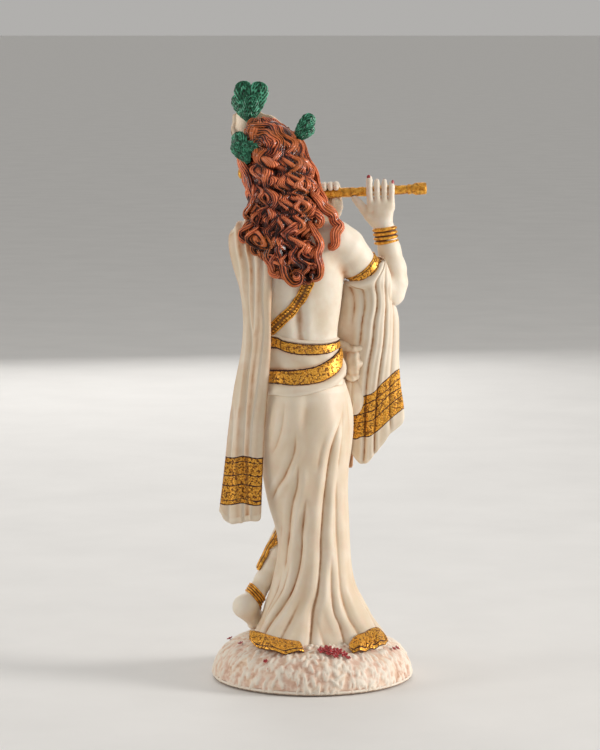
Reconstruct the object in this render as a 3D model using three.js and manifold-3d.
// A painted cast-resin figurine of a flute player: the figure, the mound that it stands on, and its flute.
// Millimetres, +Z up. The figure looks along -Y and its left side is +X. The origin is the centre of the underside.
import * as THREE from "three";
import { mergeVertices } from "three/addons/utils/BufferGeometryUtils.js";
import Module from "manifold-3d";

const wasm = await Module();
wasm.setup();

// Driving sizes
const FIGURE_HEIGHT = 230; // from the soles to the crown's peak, without the plume
const BASE_DIAMETER = 87;
const BASE_HEIGHT = 19;
const BASE_TEXTURE = 0.8; // how far the mound's tufts stand out
const SOLE_DEPTH = 3; // how far the soles stand below the mound's highest point
const FLUTE_LENGTH = 76;
const FLUTE_DIAMETER = 4.1;
const FLUTE_HEAD_DIAMETER = 5.4;
const FLUTE_HEAD_LENGTH = 5.5;
const BAND_THICKNESS = 0.9; // how far armlets, bangles and belts stand out
const CLOTH_THICKNESS = 2.4; // of the shawl's hanging ends
const CLEARANCE = 0.3; // between two pieces that touch

// The figure is laid out in modules: its height is 230 of them, as a sculptor's grid would have it.
const MODULES = 230;
const M = FIGURE_HEIGHT / MODULES;
const SOLE = BASE_HEIGHT - SOLE_DEPTH;

const TAU = 2 * Math.PI;
const rad = THREE.MathUtils.degToRad;
const clamp = THREE.MathUtils.clamp;
const mix = THREE.MathUtils.lerp;

// A point of the figure: x to its left, y to its back, z above its soles, in modules.
const at = (x, y, z) => new THREE.Vector3(x * M, y * M, SOLE + z * M);

// A smooth bump of height 1 at the middle, and about 0.37 one width away.
const bump = (value, middle, width) => Math.exp(-(((value - middle) / width) ** 2));

// The signed angle from b to a, between minus half a turn and half a turn.
const turn = (a, b) => Math.atan2(Math.sin(a - b), Math.cos(a - b));

// Catmull-Rom through rows of numbers, for t from 0 at the first row to 1 at the last.
function flow(rows, t) {
  const last = rows.length - 1;
  const place = clamp(t, 0, 1) * last;
  const i = Math.min(Math.floor(place), last - 1);
  const s = place - i;
  const row = (k) => rows[clamp(k, 0, last)];
  return rows[0].map((_, c) => {
    const [a, b, p, q] = [row(i - 1)[c], row(i)[c], row(i + 1)[c], row(i + 2)[c]];
    const square = 2 * a - 5 * b + 4 * p - q;
    const cube = 3 * b - a - 3 * p + q;
    return 0.5 * (2 * b + (p - a) * s + square * s * s + cube * s * s * s);
  });
}

// The row at a given height, for rows that start with their height.
function rowAt(rows, height) {
  let [low, high] = [0, 1];
  for (let k = 0; k < 24; k++) {
    const middle = (low + high) / 2;
    const rising = rows[rows.length - 1][0] > rows[0][0];
    if (flow(rows, middle)[0] < height === rising) low = middle;
    else high = middle;
  }
  return flow(rows, low);
}

// A manifold-3d solid from a closed three.js geometry, with its faces turned outwards.
function solid(geometry) {
  const bare = geometry.clone();
  bare.deleteAttribute("normal");
  bare.deleteAttribute("uv");
  const merged = mergeVertices(bare, 1e-5);
  const points = merged.attributes.position.array;
  const corners = [];
  for (let i = 0; i < merged.index.count; i += 3) {
    const [a, b, c] = [0, 1, 2].map((k) => merged.index.getX(i + k));
    if (a !== b && b !== c && c !== a) corners.push(a, b, c);
  }
  const make = (triVerts) =>
    new wasm.Manifold(new wasm.Mesh({ numProp: 3, vertProperties: points, triVerts }));
  const made = make(new Uint32Array(corners));
  return made.volume() > 0 ? made : make(new Uint32Array(corners.reverse()));
}

// A closed skin over rings of points. Its ends are closed from their middle, or straight across a flat band.
function skin(rings, { ends = "middle" } = {}) {
  const around = rings[0].length;
  const points = rings.flat();
  const index = [];
  const corner = (ring, k) => ring * around + (k % around);
  for (let ring = 0; ring + 1 < rings.length; ring++)
    for (let k = 0; k < around; k++) {
      const [a, b] = [corner(ring, k), corner(ring, k + 1)];
      const [c, d] = [corner(ring + 1, k + 1), corner(ring + 1, k)];
      index.push(a, b, c, a, c, d);
    }
  for (const [ring, forward] of [[0, false], [rings.length - 1, true]]) {
    const face = (a, b, c) => index.push(...(forward ? [a, b, c] : [a, c, b]));
    if (ends === "middle") {
      const middle = new THREE.Vector3();
      rings[ring].forEach((p) => middle.addScaledVector(p, 1 / around));
      points.push(middle);
      for (let k = 0; k < around; k++)
        face(corner(ring, k), corner(ring, k + 1), points.length - 1);
    } else
      for (let k = 0; k < around / 2 - 1; k++) {
        const [a, b] = [corner(ring, k), corner(ring, k + 1)];
        const [c, d] = [corner(ring, around - 2 - k), corner(ring, around - 1 - k)];
        face(a, b, c);
        face(a, c, d);
      }
  }
  const geometry = new THREE.BufferGeometry().setFromPoints(points);
  geometry.setIndex(index);
  return geometry;
}

// A form in level sections. Each row is [z, x, y, half width, half depth]. Relief moves a point outwards,
// every second point is a fold's ridge, and drift is how far the folds have turned at a height.
function levels(rows, { around = 24, steps = 12, relief = () => 0, fold = () => 0, drift = () => 0 } = {}) {
  const rings = [];
  for (let step = 0; step <= steps; step++) {
    const [z, x, y, w, d] = flow(rows, step / steps);
    const ring = [];
    for (let k = 0; k < around; k++) {
      const angle = (k / around) * TAU + drift(z);
      const out = relief(angle, z) + fold(angle, z) * (k % 2 ? -1 : 1);
      const px = x + (w + out) * Math.cos(angle);
      const py = y + (d + out) * Math.sin(angle);
      ring.push(at(px, py, z));
    }
    rings.push(ring);
  }
  return solid(skin(rings));
}

// A limb along a path. Each row is [x, y, z, radius across, radius in depth]; its ends are rounded.
function limb(rows, { around = 10, steps = 8, across = [1, 0, 0] } = {}) {
  const rings = [];
  const place = (t) => at(...flow(rows, t).slice(0, 3));
  const wide = new THREE.Vector3(...across);
  const ringAt = (t, share, push) => {
    const [, , , r, depth = r] = flow(rows, t);
    const along = place(Math.min(t + 0.01, 1)).sub(place(Math.max(t - 0.01, 0))).normalize();
    const side = wide.clone().addScaledVector(along, -wide.dot(along)).normalize();
    const front = along.clone().cross(side);
    const middle = place(t).addScaledVector(along, push * r * M);
    return Array.from({ length: around }, (_, k) => {
      const angle = (k / around) * TAU;
      return middle
        .clone()
        .addScaledVector(side, r * M * share * Math.cos(angle))
        .addScaledVector(front, depth * M * share * Math.sin(angle));
    });
  };
  rings.push(ringAt(0, 0.62, -0.75));
  for (let step = 0; step <= steps; step++) rings.push(ringAt(step / steps, 1, 0));
  rings.push(ringAt(1, 0.62, 0.75));
  return solid(skin(rings));
}

// A rounded lump: a sphere stretched to its three half sizes and turned.
function lump(middle, halves, turned = [0, 0, 0], detail = [10, 6]) {
  const sphere = new THREE.SphereGeometry(1, ...detail);
  sphere.scale(halves[0] * M, halves[1] * M, halves[2] * M);
  sphere.applyMatrix4(new THREE.Matrix4().makeRotationFromEuler(new THREE.Euler(...turned.map(rad), "ZYX")));
  const place = at(...middle);
  sphere.translate(place.x, place.y, place.z);
  return solid(sphere);
}

// A raised band round a limb: a flat hoop about an axis, oval where depth differs from radius.
function hoop(middle, axis, radius, height, { depth = radius, around = 10, out = BAND_THICKNESS } = {}) {
  const half = (height / 2) * M;
  const [inner, outer] = [radius * M - 1, radius * M + out];
  const profile = [[inner, -half], [outer, -0.7 * half], [outer, 0.7 * half], [inner, half]];
  const shape = profile.concat([profile[0]]).map(([r, z]) => new THREE.Vector2(r, z));
  const lathe = new THREE.LatheGeometry(shape, around);
  lathe.rotateX(Math.PI / 2);
  lathe.scale(1, depth / radius, 1);
  const up = new THREE.Vector3(0, 0, 1);
  const towards = new THREE.Vector3(...axis).normalize();
  lathe.applyQuaternion(new THREE.Quaternion().setFromUnitVectors(up, towards));
  const place = at(...middle);
  lathe.translate(place.x, place.y, place.z);
  return solid(lathe);
}

// A hanging cloth: a thick pleated sheet between two edges, each a list of rows [z, x, y].
function curtain(outer, inner, { folds, depth, steps = 8, thickness = CLOTH_THICKNESS, hem }) {
  const columns = 2 * folds;
  const rings = [];
  for (let step = 0; step <= steps; step++) {
    const t = step / steps;
    const [a, b] = [flow(outer, t), flow(inner, t)];
    const across = new THREE.Vector2(b[1] - a[1], b[2] - a[2]).normalize();
    const front = [];
    const back = [];
    for (let c = 0; c <= columns; c++) {
      const inside = c > 0 && c < columns;
      const s = (c + (inside ? 0.25 * Math.sin(4 * t + c) : 0)) / columns;
      const wave = depth(t) * (c % 2 ? -1 : 1);
      const [x, y] = [mix(a[1], b[1], s), mix(a[2], b[2], s)];
      const z = mix(a[0], b[0], s) - (hem ? hem(s) * Math.max(0, (t - 0.8) / 0.2) : 0);
      const half = thickness / 2 / M;
      front.push(at(x - across.y * (wave + half), y + across.x * (wave + half), z));
      back.push(at(x - across.y * (wave - half), y + across.x * (wave - half), z));
    }
    rings.push([...front, ...back.reverse()]);
  }
  return solid(skin(rings, { ends: "band" }));
}

// The mound: a low dome whose tufts run outwards and down. Its height at a radius is one formula.
const DOME_FLATNESS = 4;
const DOME_FULLNESS = 0.44;
const domeHeight = (share) => BASE_HEIGHT * (1 - share ** DOME_FLATNESS) ** DOME_FULLNESS;

function tufts(angle, share) {
  const strokes = Math.sin(19 * angle + 9 * share) * 0.6 + Math.sin(11 * angle - 14 * share + 1) * 0.4;
  return BASE_TEXTURE * strokes * bump(share, 0.8, 0.3);
}

function mound(grow = 0) {
  const around = 38;
  const shares = [0.955, 0.998, 0.985, 0.94, 0.86, 0.72, 0.44];
  const rings = shares.map((share, row) =>
    Array.from({ length: around }, (_, k) => {
      const angle = (k / around) * TAU;
      const r = (BASE_DIAMETER / 2) * share + grow;
      const rise = row === 0 ? -grow : row === 1 ? BASE_HEIGHT * 0.07 : domeHeight(share) + grow;
      const lift = row > 2 ? tufts(angle, share) : 0;
      return new THREE.Vector3(r * Math.cos(angle), r * Math.sin(angle), rise + lift);
    }),
  );
  return solid(skin(rings));
}

// Everything under the mound's surface, on past its rim, to trim the figure's hem.
function ground() {
  const ledge = BASE_HEIGHT * 0.45;
  const reach = 2 * BASE_DIAMETER;
  const profile = [[0, -reach], [reach, -reach], [reach, ledge], [0, ledge], [0, -reach]];
  const slab = new THREE.LatheGeometry(profile.map(([r, z]) => new THREE.Vector2(r, z)), 24);
  slab.rotateX(Math.PI / 2);
  return solid(slab).add(mound(CLEARANCE));
}

// Torso, neck and pelvis, in level sections
const TORSO = [
  [96, 3, 0, 16.5, 12],
  [112, 2.8, 0, 16.6, 12],
  [124, 4.2, -0.5, 15.8, 11.2],
  [134, 5.7, -1, 16, 10.8],
  [146, 6.2, -1, 18.4, 12],
  [158, 6.3, -0.8, 19.6, 12.6],
  [168, 6.6, -0.5, 19.4, 12],
  [176, 7.4, 0, 16.5, 10.2],
  [181, 8.8, 0.2, 11, 8.2],
  [186, 10.4, -0.4, 7.6, 7.2],
  [193, 12.4, -1.6, 6.4, 6.6],
  [200, 14.2, -3, 6, 6.2],
];

function torsoRelief(angle, z) {
  const spine = -1.2 * bump(turn(angle, rad(90)), 0, 0.16) * bump(z, 148, 24);
  const blades = [62, 118].map((a) => 0.9 * bump(turn(angle, rad(a)), 0, 0.3) * bump(z, 164, 9));
  const chest = [248, 292].map((a) => 1.1 * bump(turn(angle, rad(a)), 0, 0.34) * bump(z, 162, 8));
  return spine + blades[0] + blades[1] + chest[0] + chest[1];
}

// Arms: shoulder to elbow, then elbow to wrist
const RIGHT_WRIST = [-31.8, -15.2, 175.5];
const LEFT_WRIST = [-6, -25.4, 178];
const RIGHT_UPPER_ARM = [
  [-5, 0.5, 173, 9], [-11.5, -0.5, 172.4, 9], [-17, -3, 166.6, 8], [-23, -6.3, 160, 6.9],
  [-29, -9.8, 154, 6.1], [-34, -12.4, 150.6, 5.6],
];
const RIGHT_FOREARM = [
  [-34.4, -12.8, 150, 5.6], [-35.2, -13.4, 156, 6], [-34.4, -14.4, 164, 5.2], [...RIGHT_WRIST, 3.9],
  [-31, -15.4, 180, 4.1, 2.8],
];
const LEFT_UPPER_ARM = [
  [19, 0.5, 173.5, 8.4], [23.8, -0.5, 171.8, 8.2], [25.4, -6.5, 164.8, 7], [23.4, -13.6, 157.4, 6.3],
  [19.8, -20, 150, 5.8], [17.4, -24, 145.3, 5.6],
];
const LEFT_FOREARM = [
  [18, -24.8, 145.5, 5.6], [13.6, -26, 151.5, 6], [5.6, -26.4, 162, 5.1], [...LEFT_WRIST, 3.8],
  [-7.2, -25, 183, 3.9, 2.8],
];

// The crossed right leg, with its heel raised, and the standing left foot that shows under the hem
const RIGHT_ANKLE = [25.2, -4.5, 19];
const RIGHT_THIGH = [[-6, -2, 106, 11], [-6, -10, 90, 10.6], [-4.5, -19, 74, 9.4], [-3, -23, 63, 8.4]];
const RIGHT_SHIN = [
  [-2.6, -22.6, 62, 7.6], [5, -19, 50.5, 7.2], [13.5, -13, 37.5, 6], [...RIGHT_ANKLE, 4.5],
  [28, -2.5, 15.5, 4.2],
];
const RIGHT_FOOT = [
  [30.2, -1, 14.6, 4.4, 4.2], [28.6, -8, 11, 4.1, 3.9], [26, -17, 4.8, 5, 3.2],
  [24.4, -24.5, 1.8, 4.8, 2.6], [23.6, -28, 1, 3.6, 2],
];
const LEFT_FOOT = [
  [1, -14, 6, 5.6, 5], [0.5, -22, 3.6, 5.6, 4], [0, -28.5, 2, 5.2, 3], [0, -32, 1.4, 4, 2.2],
];

// Head: level sections in its own frame, face along -Y, then pitched, rolled and turned to its left
const HEAD_MIDDLE = [16.9, -5, 207];
const HEAD_TURN = new THREE.Matrix4()
  .makeRotationZ(rad(22))
  .multiply(new THREE.Matrix4().makeRotationY(rad(15)))
  .multiply(new THREE.Matrix4().makeRotationX(rad(14)));
const HEAD_SIZE = { half: 16.5, wide: 11.4, deep: 13 };

// A point given in the head's own frame, in modules.
function onHead(x, y, z) {
  const p = new THREE.Vector3(x, y, z).applyMatrix4(HEAD_TURN);
  return at(HEAD_MIDDLE[0] + p.x, HEAD_MIDDLE[1] + p.y, HEAD_MIDDLE[2] + p.z);
}

// How far the face stands out from an egg: brow, eye hollows, nose, lips, chin and cheeks.
// f is the angle from the face's middle.
function faceRelief(f, z) {
  const nose = 2.6 * bump(f, 0, 0.13) * bump(z, -3.4, 2.6) + 1.1 * bump(f, 0, 0.1) * bump(z, 0.6, 3.4);
  const brow = 0.5 * bump(Math.abs(f), 0.34, 0.26) * bump(z, 4.2, 1.3);
  const hollows = -1.1 * bump(Math.abs(f), 0.36, 0.2) * bump(z, 1.8, 1.7);
  const lips = 0.9 * bump(f, 0, 0.26) * bump(z, -8, 1.7);
  const chin = 0.9 * bump(f, 0, 0.3) * bump(z, -13.2, 2.4);
  const cheeks = 0.6 * bump(Math.abs(f), 0.62, 0.3) * bump(z, -3.5, 3.6);
  return nose + brow + hollows + lips + chin + cheeks;
}

function headSolid() {
  const around = 16;
  const heights = [-15.6, -13.2, -10.4, -8, -5.8, -3.4, -0.6, 1.8, 4.4, 10];
  const rings = heights.map((z) => {
    const slim = Math.sqrt(Math.max(0, 1 - (z / HEAD_SIZE.half) ** 2));
    const jaw = z < 0 ? 1 - 0.16 * (z / HEAD_SIZE.half) ** 2 : 1;
    return Array.from({ length: around }, (_, k) => {
      const angle = (k / around) * TAU;
      const f = turn(angle, rad(270));
      const fullness = Math.max(slim, z < 0 ? 0.42 * bump(f, 0, 1.2) : 0) ** 0.8;
      const out = faceRelief(f, z);
      const x = (HEAD_SIZE.wide * fullness * jaw + out) * Math.cos(angle);
      const y = (HEAD_SIZE.deep * fullness + out) * Math.sin(angle);
      return onHead(x, y, z);
    });
  });
  return solid(skin(rings));
}

// Hair: the fall down the back in level sections, a cap round the head, and the loose curls at its rim
const HAIR_FALL = [
  [155, 6.5, 11, 5, 4],
  [158, 5.4, 11.4, 9.4, 5.4],
  [163, 7.4, 11.4, 12.6, 6],
  [170, 10.6, 11, 14.8, 6.4],
  [176, 12.6, 9.6, 17.2, 7],
  [184, 10, 7.6, 18.6, 7.6],
  [192, 10.6, 5.6, 17, 9],
  [200, 13, 3, 15, 11],
  [207, 14.6, 0.4, 13.6, 12.4],
];

const hairSway = (z) => 0.07 * Math.sin(z * 0.36) + 0.05 * Math.sin(z * 0.19 + 2);
const hairLocks = (angle, z) =>
  (1 + 0.3 * Math.sin(z * 0.5 + 3 * angle)) * bump(turn(angle, rad(90)), 0, 1.6);

function hairCap() {
  const around = 18;
  const heights = [-9, -3, 4, 10.5, 15.6, 18.8];
  const rings = heights.map((z) => {
    const slim = Math.sqrt(Math.max(0.02, 1 - (z / 20.4) ** 2)) ** 0.8;
    return Array.from({ length: around }, (_, k) => {
      const angle = (k / around) * TAU + 0.03 * z;
      const open = bump(turn(angle, rad(270)), 0, 0.86) * clamp((11 - z) / 5, 0, 1);
      const r = (1.17 - 0.32 * open) * slim;
      const wave = k % 2 ? 0.4 : -0.4;
      const [across, along] = [HEAD_SIZE.wide * r + wave, HEAD_SIZE.deep * r + wave];
      return onHead(across * Math.cos(angle), along * Math.sin(angle) + 0.6, z);
    });
  });
  return solid(skin(rings));
}

// Each loose lock is a path of [x, y, z, radius], thick at its root and curled in at its tip.
const LOCKS = [
  [[-4, 6, 190, 3], [-9.4, 6, 186.5, 2.8], [-12, 5.5, 181, 2.6], [-11, 7, 174.6, 2.2]],
  [[24, 5, 190, 3], [27.6, 6.4, 182.6, 3.2], [29, 8, 174.8, 2.8], [24.6, 10, 170.4, 2]],
  [[13, 13, 166, 3.4], [12, 14.6, 159, 3.6], [6, 13.8, 156.6, 2.4]],
  [[2, 13.6, 172, 3.2], [-2.4, 15, 165.6, 3.2], [-2.6, 13.6, 157.6, 2.2]],
  [[26.6, -7, 208, 2.6], [27, -4.6, 194, 2.8], [23.6, -4.6, 183.4, 1.8]],
  [[5, -10, 206, 2.6], [0, -6.6, 193, 2.8], [-3.4, -7, 182, 1.8]],
];

// Crown, plume and side sprays, in the head's own frame
function crown() {
  const around = 12;
  const span = rad(112); // each way from the middle of the brow
  const rings = [];
  for (let k = 0; k <= around; k++) {
    const f = mix(-span, span, k / around);
    const angle = rad(270) + f;
    const peak = mix(5, 17.8, bump(f, 0, 0.55)) + 2.4 * bump(Math.abs(f), 1, 0.3);
    const [low, high] = [8.6 - 1.6 * Math.abs(f), 9 - 1.2 * Math.abs(f) + peak];
    const [inner, outer] = [1.12, 1.27];
    const point = (share, z, lean) =>
      onHead(HEAD_SIZE.wide * share * Math.cos(angle), HEAD_SIZE.deep * share * Math.sin(angle) - lean, z);
    rings.push([
      point(inner - 0.2, low, 0), point(outer, low, 0),
      point(outer - 0.28, high, -1.5), point(inner - 0.26, high, -1.5),
    ]);
  }
  return solid(skin(rings));
}

const PLUME_ROOT = [27, -12.5, 225];
const PLUME_LOBES = [
  { lean: 30, length: 12.8, wide: 2.9 },
  { lean: 8, length: 17, wide: 3.6 },
  { lean: -20, length: 16.8, wide: 4 },
];

function plume() {
  const [x, y, z] = PLUME_ROOT;
  const lobes = PLUME_LOBES.map(({ lean, length, wide }) => {
    const middle = [x + Math.sin(rad(lean)) * length * 0.5, y, z + Math.cos(rad(lean)) * length * 0.5];
    return lump(middle, [wide, 1.9, length * 0.53], [0, lean, 0], [8, 6]);
  });
  return [...lobes, limb([[x, y + 3, z - 9, 2.4], [x, y, z + 2, 2]], { around: 6, steps: 1 })];
}

function sprays() {
  return [
    lump([31, 0.5, 212], [3.4, 2.4, 8.4], [0, 24, 0], [7, 5]),
        lump([4, -6, 221.4], [3.4, 2.4, 7.4], [0, -40, 0], [7, 5]),
      ];
}

// The lower cloth, with pleats that deepen towards the hem, and above it the sash rolled round the hips
const LOWER_CLOTH = [
  [-10, -3.4, 0, 31, 26],
  [-3, -3.3, 0, 30.4, 25.4],
  [3, -3, 0, 28, 22.4],
  [9, -2.2, 0, 24.4, 18.6],
  [17, -1, 0, 20.9, 15.8],
  [26, -0.4, 0, 17.6, 14.2],
  [42, -0.8, -0.7, 15.4, 13],
  [60, 1.8, -1.4, 17.2, 13.8],
  [78, 3.2, -0.8, 18.8, 14.4],
  [92, 3.1, 0.2, 19.1, 14.8],
  [104, 2.6, 0.4, 18, 14],
  [106.5, 2.6, 0.4, 19.8, 15.6],
  [112, 2.6, 0.2, 19, 14.8],
  [121, 3.7, -0.2, 17.6, 12.9],
  [129.5, 5, -0.8, 17, 12],
  [131.5, 5.3, -0.8, 15.4, 10.6],
];
const PLEATS = 14;

const pleatDepth = (angle, z) => mix(2, 0.4, clamp((z - 2) / 70, 0, 1)) * clamp((102 - z) / 16, 0, 1);
const pleatDrift = (z) => 0.006 * z;
const seat = (angle, z) =>
  [68, 116].reduce((sum, a) => sum + 1.6 * bump(turn(angle, rad(a)), 0, 0.42) * bump(z, 96, 12), 0);

// The sash's bunched end on the right hip
function knot() {
  return [
    lump([-18, -6, 128.4], [6, 4, 2.6], [0, -6, 0], [6, 4]),
    lump([-18.6, -6.6, 122.6], [5.6, 4.2, 3], [0, 8, 0], [6, 4]),
    lump([-18.4, -7, 115.6], [5, 4.4, 3.4], [0, 4, 0], [6, 4]),
  ];
}

// The shawl: one end hangs from the left shoulder behind the arm, the other from the crook of the right arm
const LEFT_SHAWL_OUTER = [
  [178, 31, 1], [171, 34.2, 3], [159, 32.6, 4.6], [146, 29.8, 5], [128, 30.2, 5], [109, 33.2, 5.2],
  [90, 35.6, 5.2], [72, 37.8, 5], [56, 39.8, 4.6],
];
const LEFT_SHAWL_INNER = [
  [180, 21, 7], [172, 17.6, 11], [159, 17, 11.6], [146, 16.8, 11.2], [128, 17.4, 10.4], [109, 19, 9.4],
  [90, 20.6, 8.4], [72, 21.6, 7.4], [54, 22, 6.8],
];
const RIGHT_SHAWL_OUTER = [
  [160, -31, -12.6], [150, -34.6, -12.2], [140, -36.6, -12.2], [127, -36.8, -12.2], [114, -38, -12.2],
  [104, -38.8, -12.6], [96, -39.6, -13],
];
const RIGHT_SHAWL_INNER = [
  [158, -16, -6], [150, -14.6, -7], [143, -14.2, -7.6], [127, -15, -9.4], [112, -15.6, -12],
  [98, -15.8, -14], [86, -15.4, -15],
];

const leftHem = (s) => 1.6 * Math.cos(3 * s * TAU + 2) - 2.6 * bump(s, 0.5, 0.3);
const rightHem = (s) => 9.5 * bump(s, 0.76, 0.2);

function shawl() {
  const cover = [
    [19, 3, 181, 5.4, 6.4], [27, 2.4, 175.6, 8.8, 8], [28.4, 3.4, 164, 5.6, 7], [27, 4.8, 154, 3.4, 5],
    [27.4, 5, 146, 2.2, 3],
  ];
  const sleeve = [
    [-31.6, -13, 160.6, 3, 4], [-35, -13.2, 157, 6.6, 6.8], [-35.4, -13, 150, 6.2, 6.8],
    [-36.4, -13, 144.8, 4, 5],
  ];
  const left = { folds: 3, depth: (t) => mix(0.5, 1.5, t), steps: 6, hem: leftHem };
  const right = { folds: 4, depth: () => 1.2, steps: 5, hem: rightHem };
  return [
    curtain(LEFT_SHAWL_OUTER, LEFT_SHAWL_INNER, left),
    curtain(RIGHT_SHAWL_OUTER, RIGHT_SHAWL_INNER, right),
    limb(cover, { around: 8, steps: 3 }),
    limb(sleeve, { around: 8, steps: 3 }),
  ];
}

// The flute lies in front of the lips and of the right fingers, and rises a little to its far end
const FLUTE_FAR = [-49.6, -19.6, 195];
const FLUTE_RISE = -0.05; // per unit of x
const fluteLevel = (x) => FLUTE_FAR[2] + (x - FLUTE_FAR[0]) * FLUTE_RISE;
const fluteAt = (x) => at(x, FLUTE_FAR[1], fluteLevel(x));

function fluteSolid(grow = 0) {
  const r = FLUTE_DIAMETER / 2 + grow;
  const head = FLUTE_HEAD_DIAMETER / 2 + grow;
  const [start, end] = [-grow, FLUTE_LENGTH + grow];
  const neck = FLUTE_HEAD_LENGTH + grow;
  const knot = 0.22 * FLUTE_LENGTH;
  const profile = [[0, start], [head * 0.8, start], [head, start + 1], [head, neck - 1.2], [r, neck]];
  profile.push([r, knot - 2], [r * 1.16, knot], [r, knot + 2]);
  profile.push([r, end], [0, end]);
  const lathe = new THREE.LatheGeometry(profile.map(([x, y]) => new THREE.Vector2(x, y)), 9);
  const far = fluteAt(FLUTE_FAR[0]);
  const along = fluteAt(0).sub(far).normalize();
  lathe.applyQuaternion(new THREE.Quaternion().setFromUnitVectors(new THREE.Vector3(0, 1, 0), along));
  lathe.translate(far.x, far.y, far.z);
  return solid(lathe);
}

// The right hand stands behind the flute with its fingers up, and the left hand reaches over it in front.
// Fingers press a little into the flute's room, which is cut from them with the clearance.
const FINGER = 1.32;
const REACH = FLUTE_DIAMETER / 2 / M + FINGER * 0.8; // from the flute's axis to a finger's

const PALM = { around: 8, steps: 2 };
const DIGIT = { around: 5, steps: 2 };

function rightHand() {
  const y = FLUTE_FAR[1] + REACH;
  const palm = [[-31.4, -15.4, 178, 4.2, 2.9], [-30, y + 0.4, 183, 5.6, 2.6], [-29.6, y + 0.4, 188.4, 5.8, 2.2]];
  const thumb = [[-27, -15.6, 181, 2.6], [-23, -17, 185.6, 2], [-19.4, -18.6, 189.6, 1.6]];
  const fingers = [[-25.4, -25, 6.4], [-28.4, -28.2, 5.4], [-31.2, -31.2, 5.4], [-33.8, -34.2, 4.8]];
  const finger = ([root, tip, above]) => {
    const level = fluteLevel(tip);
    return [
      [root, y + 0.6, level - 6, 1.5],
      [tip, y + 0.2, level, FINGER],
      [tip, y - 0.4, level + above, FINGER * 0.9],
    ];
  };
  return [limb(palm, PALM), limb(thumb, DIGIT), ...fingers.map((row) => limb(finger(row), DIGIT))];
}

function leftHand() {
  const [middle, y] = [FLUTE_FAR[1], FLUTE_FAR[1] - REACH];
  const palm = [[-6.6, -25, 181, 4, 2.9], [-7.2, y - 0.6, 185, 5.2, 2.5], [-7.4, y - 0.4, 188.6, 5.4, 2.2]];
  const thumb = [[-9.6, -23.6, 183.6, 2.4], [-11, -21.4, 187, 1.9], [-9.8, -19.4, 189.4, 1.5]];
  const finger = (x) => {
    const level = fluteLevel(x);
    return [
      [x, y - 0.6, level - 5.4, 1.5],
      [x + 0.6, y - 0.4, level, FINGER],
      [x + 1, middle, level + REACH, FINGER],
      [x + 1, middle + REACH, level + REACH * 0.8, FINGER * 0.85],
    ];
  };
  const fingers = [-3.6, -6.2, -8.8, -11.2].map((x) => limb(finger(x), { ...DIGIT, steps: 3 }));
  return [limb(palm, PALM), limb(thumb, DIGIT), ...fingers];
}

function jewellery() {
  const [x, y, z] = RIGHT_WRIST;
  return [
    hoop([x, y, z - 0.2], [0.16, 0, 1], 4.3, 5),
    hoop([-22.8, -6.2, 161.3], [-0.74, -0.45, -0.66], 6.6, 4),
    hoop([-4, -25.6, 175.6], [-0.6, 0, 0.8], 4.3, 4.6),
    hoop([25.2, -7.4, 164], [-0.1, -0.7, -0.72], 7, 4),
    hoop([24.2, -5.2, 20.4], [-0.6, -0.34, 0.72], 5, 3),
    lump([28.6, -4.6, 203], [1.7, 1.7, 2.6], [0, 0, 0], [6, 4]),
  ];
}

// The sash's long tail, which hangs down the front of the right thigh
function tail() {
  const inner = [[118, -10.5, -13.5], [104, -10, -17.5], [86, -9.5, -21.5], [68, -9, -22.5]];
  const outer = [[118, -17.5, -9.5], [104, -17.5, -12.5], [86, -17.2, -14.5], [68, -17.2, -14.6]];
  return curtain(inner, outer, { folds: 2, depth: () => 0.6, steps: 4 });
}

// Joins a list of solids into one.
const join = (solids) => solids.reduce((whole, next) => whole.add(next));

// A casting has no sealed hollows: only the outer skins are kept.
const cast = (whole) => join(whole.decompose().filter((shell) => shell.volume() > 0));

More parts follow.
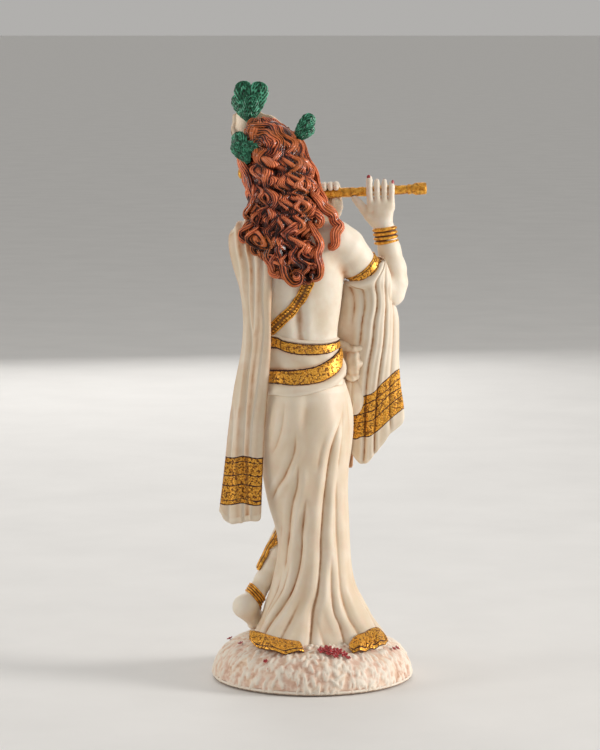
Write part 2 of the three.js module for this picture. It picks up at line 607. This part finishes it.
function figureSolid() {
  const whole = join([
    levels(LOWER_CLOTH, { around: 2 * PLEATS, steps: 13, relief: seat, fold: pleatDepth, drift: pleatDrift }),
    levels(TORSO, { around: 16, steps: 9, relief: torsoRelief }),
    limb(RIGHT_UPPER_ARM, { around: 8, steps: 5 }),
    limb(RIGHT_FOREARM, { around: 8, steps: 4 }),
    limb(LEFT_UPPER_ARM, { around: 8, steps: 5 }),
    limb(LEFT_FOREARM, { around: 8, steps: 4 }),
    limb(RIGHT_THIGH, { around: 8, steps: 3 }),
    limb(RIGHT_SHIN, { around: 8, steps: 4 }),
    limb(RIGHT_FOOT, { around: 7, steps: 4 }),
    limb(LEFT_FOOT, { around: 6, steps: 3 }),
    headSolid(),
    levels(HAIR_FALL, { around: 24, steps: 9, fold: hairLocks, drift: hairSway }),
    hairCap(),
    ...LOCKS.map((rows) => limb(rows, { around: 5, steps: 3 })),
    crown(),
    ...plume(),
    ...sprays(),
    ...knot(),
    ...shawl(),
    ...rightHand(),
    ...leftHand(),
    ...jewellery(),
    tail(),
  ]);
  return cast(whole.subtract(fluteSolid(CLEARANCE)).subtract(ground()));
}

// A named mesh from a solid, faceted as cast.
function mesh(name, made, colour, roughness, metalness) {
  const { vertProperties, triVerts, numProp } = made.getMesh();
  const points = new Float32Array(triVerts.length * 3);
  triVerts.forEach((v, k) => {
    for (let c = 0; c < 3; c++) points[3 * k + c] = vertProperties[v * numProp + c];
  });
  const geometry = new THREE.BufferGeometry();
  geometry.setAttribute("position", new THREE.BufferAttribute(points, 3));
  geometry.computeVertexNormals();
  const color = new THREE.Color(...colour);
  const shown = new THREE.Mesh(geometry, new THREE.MeshStandardMaterial({ color, roughness, metalness }));
  shown.name = name;
  return shown;
}

const figurine = new THREE.Group();
figurine.add(
  mesh("figure", figureSolid(), [0.86, 0.79, 0.68], 0.45, 0),
  mesh("base", mound(), [0.85, 0.74, 0.68], 0.6, 0),
  mesh("flute", fluteSolid(), [0.72, 0.5, 0.14], 0.35, 0.6),
);

export default figurine;
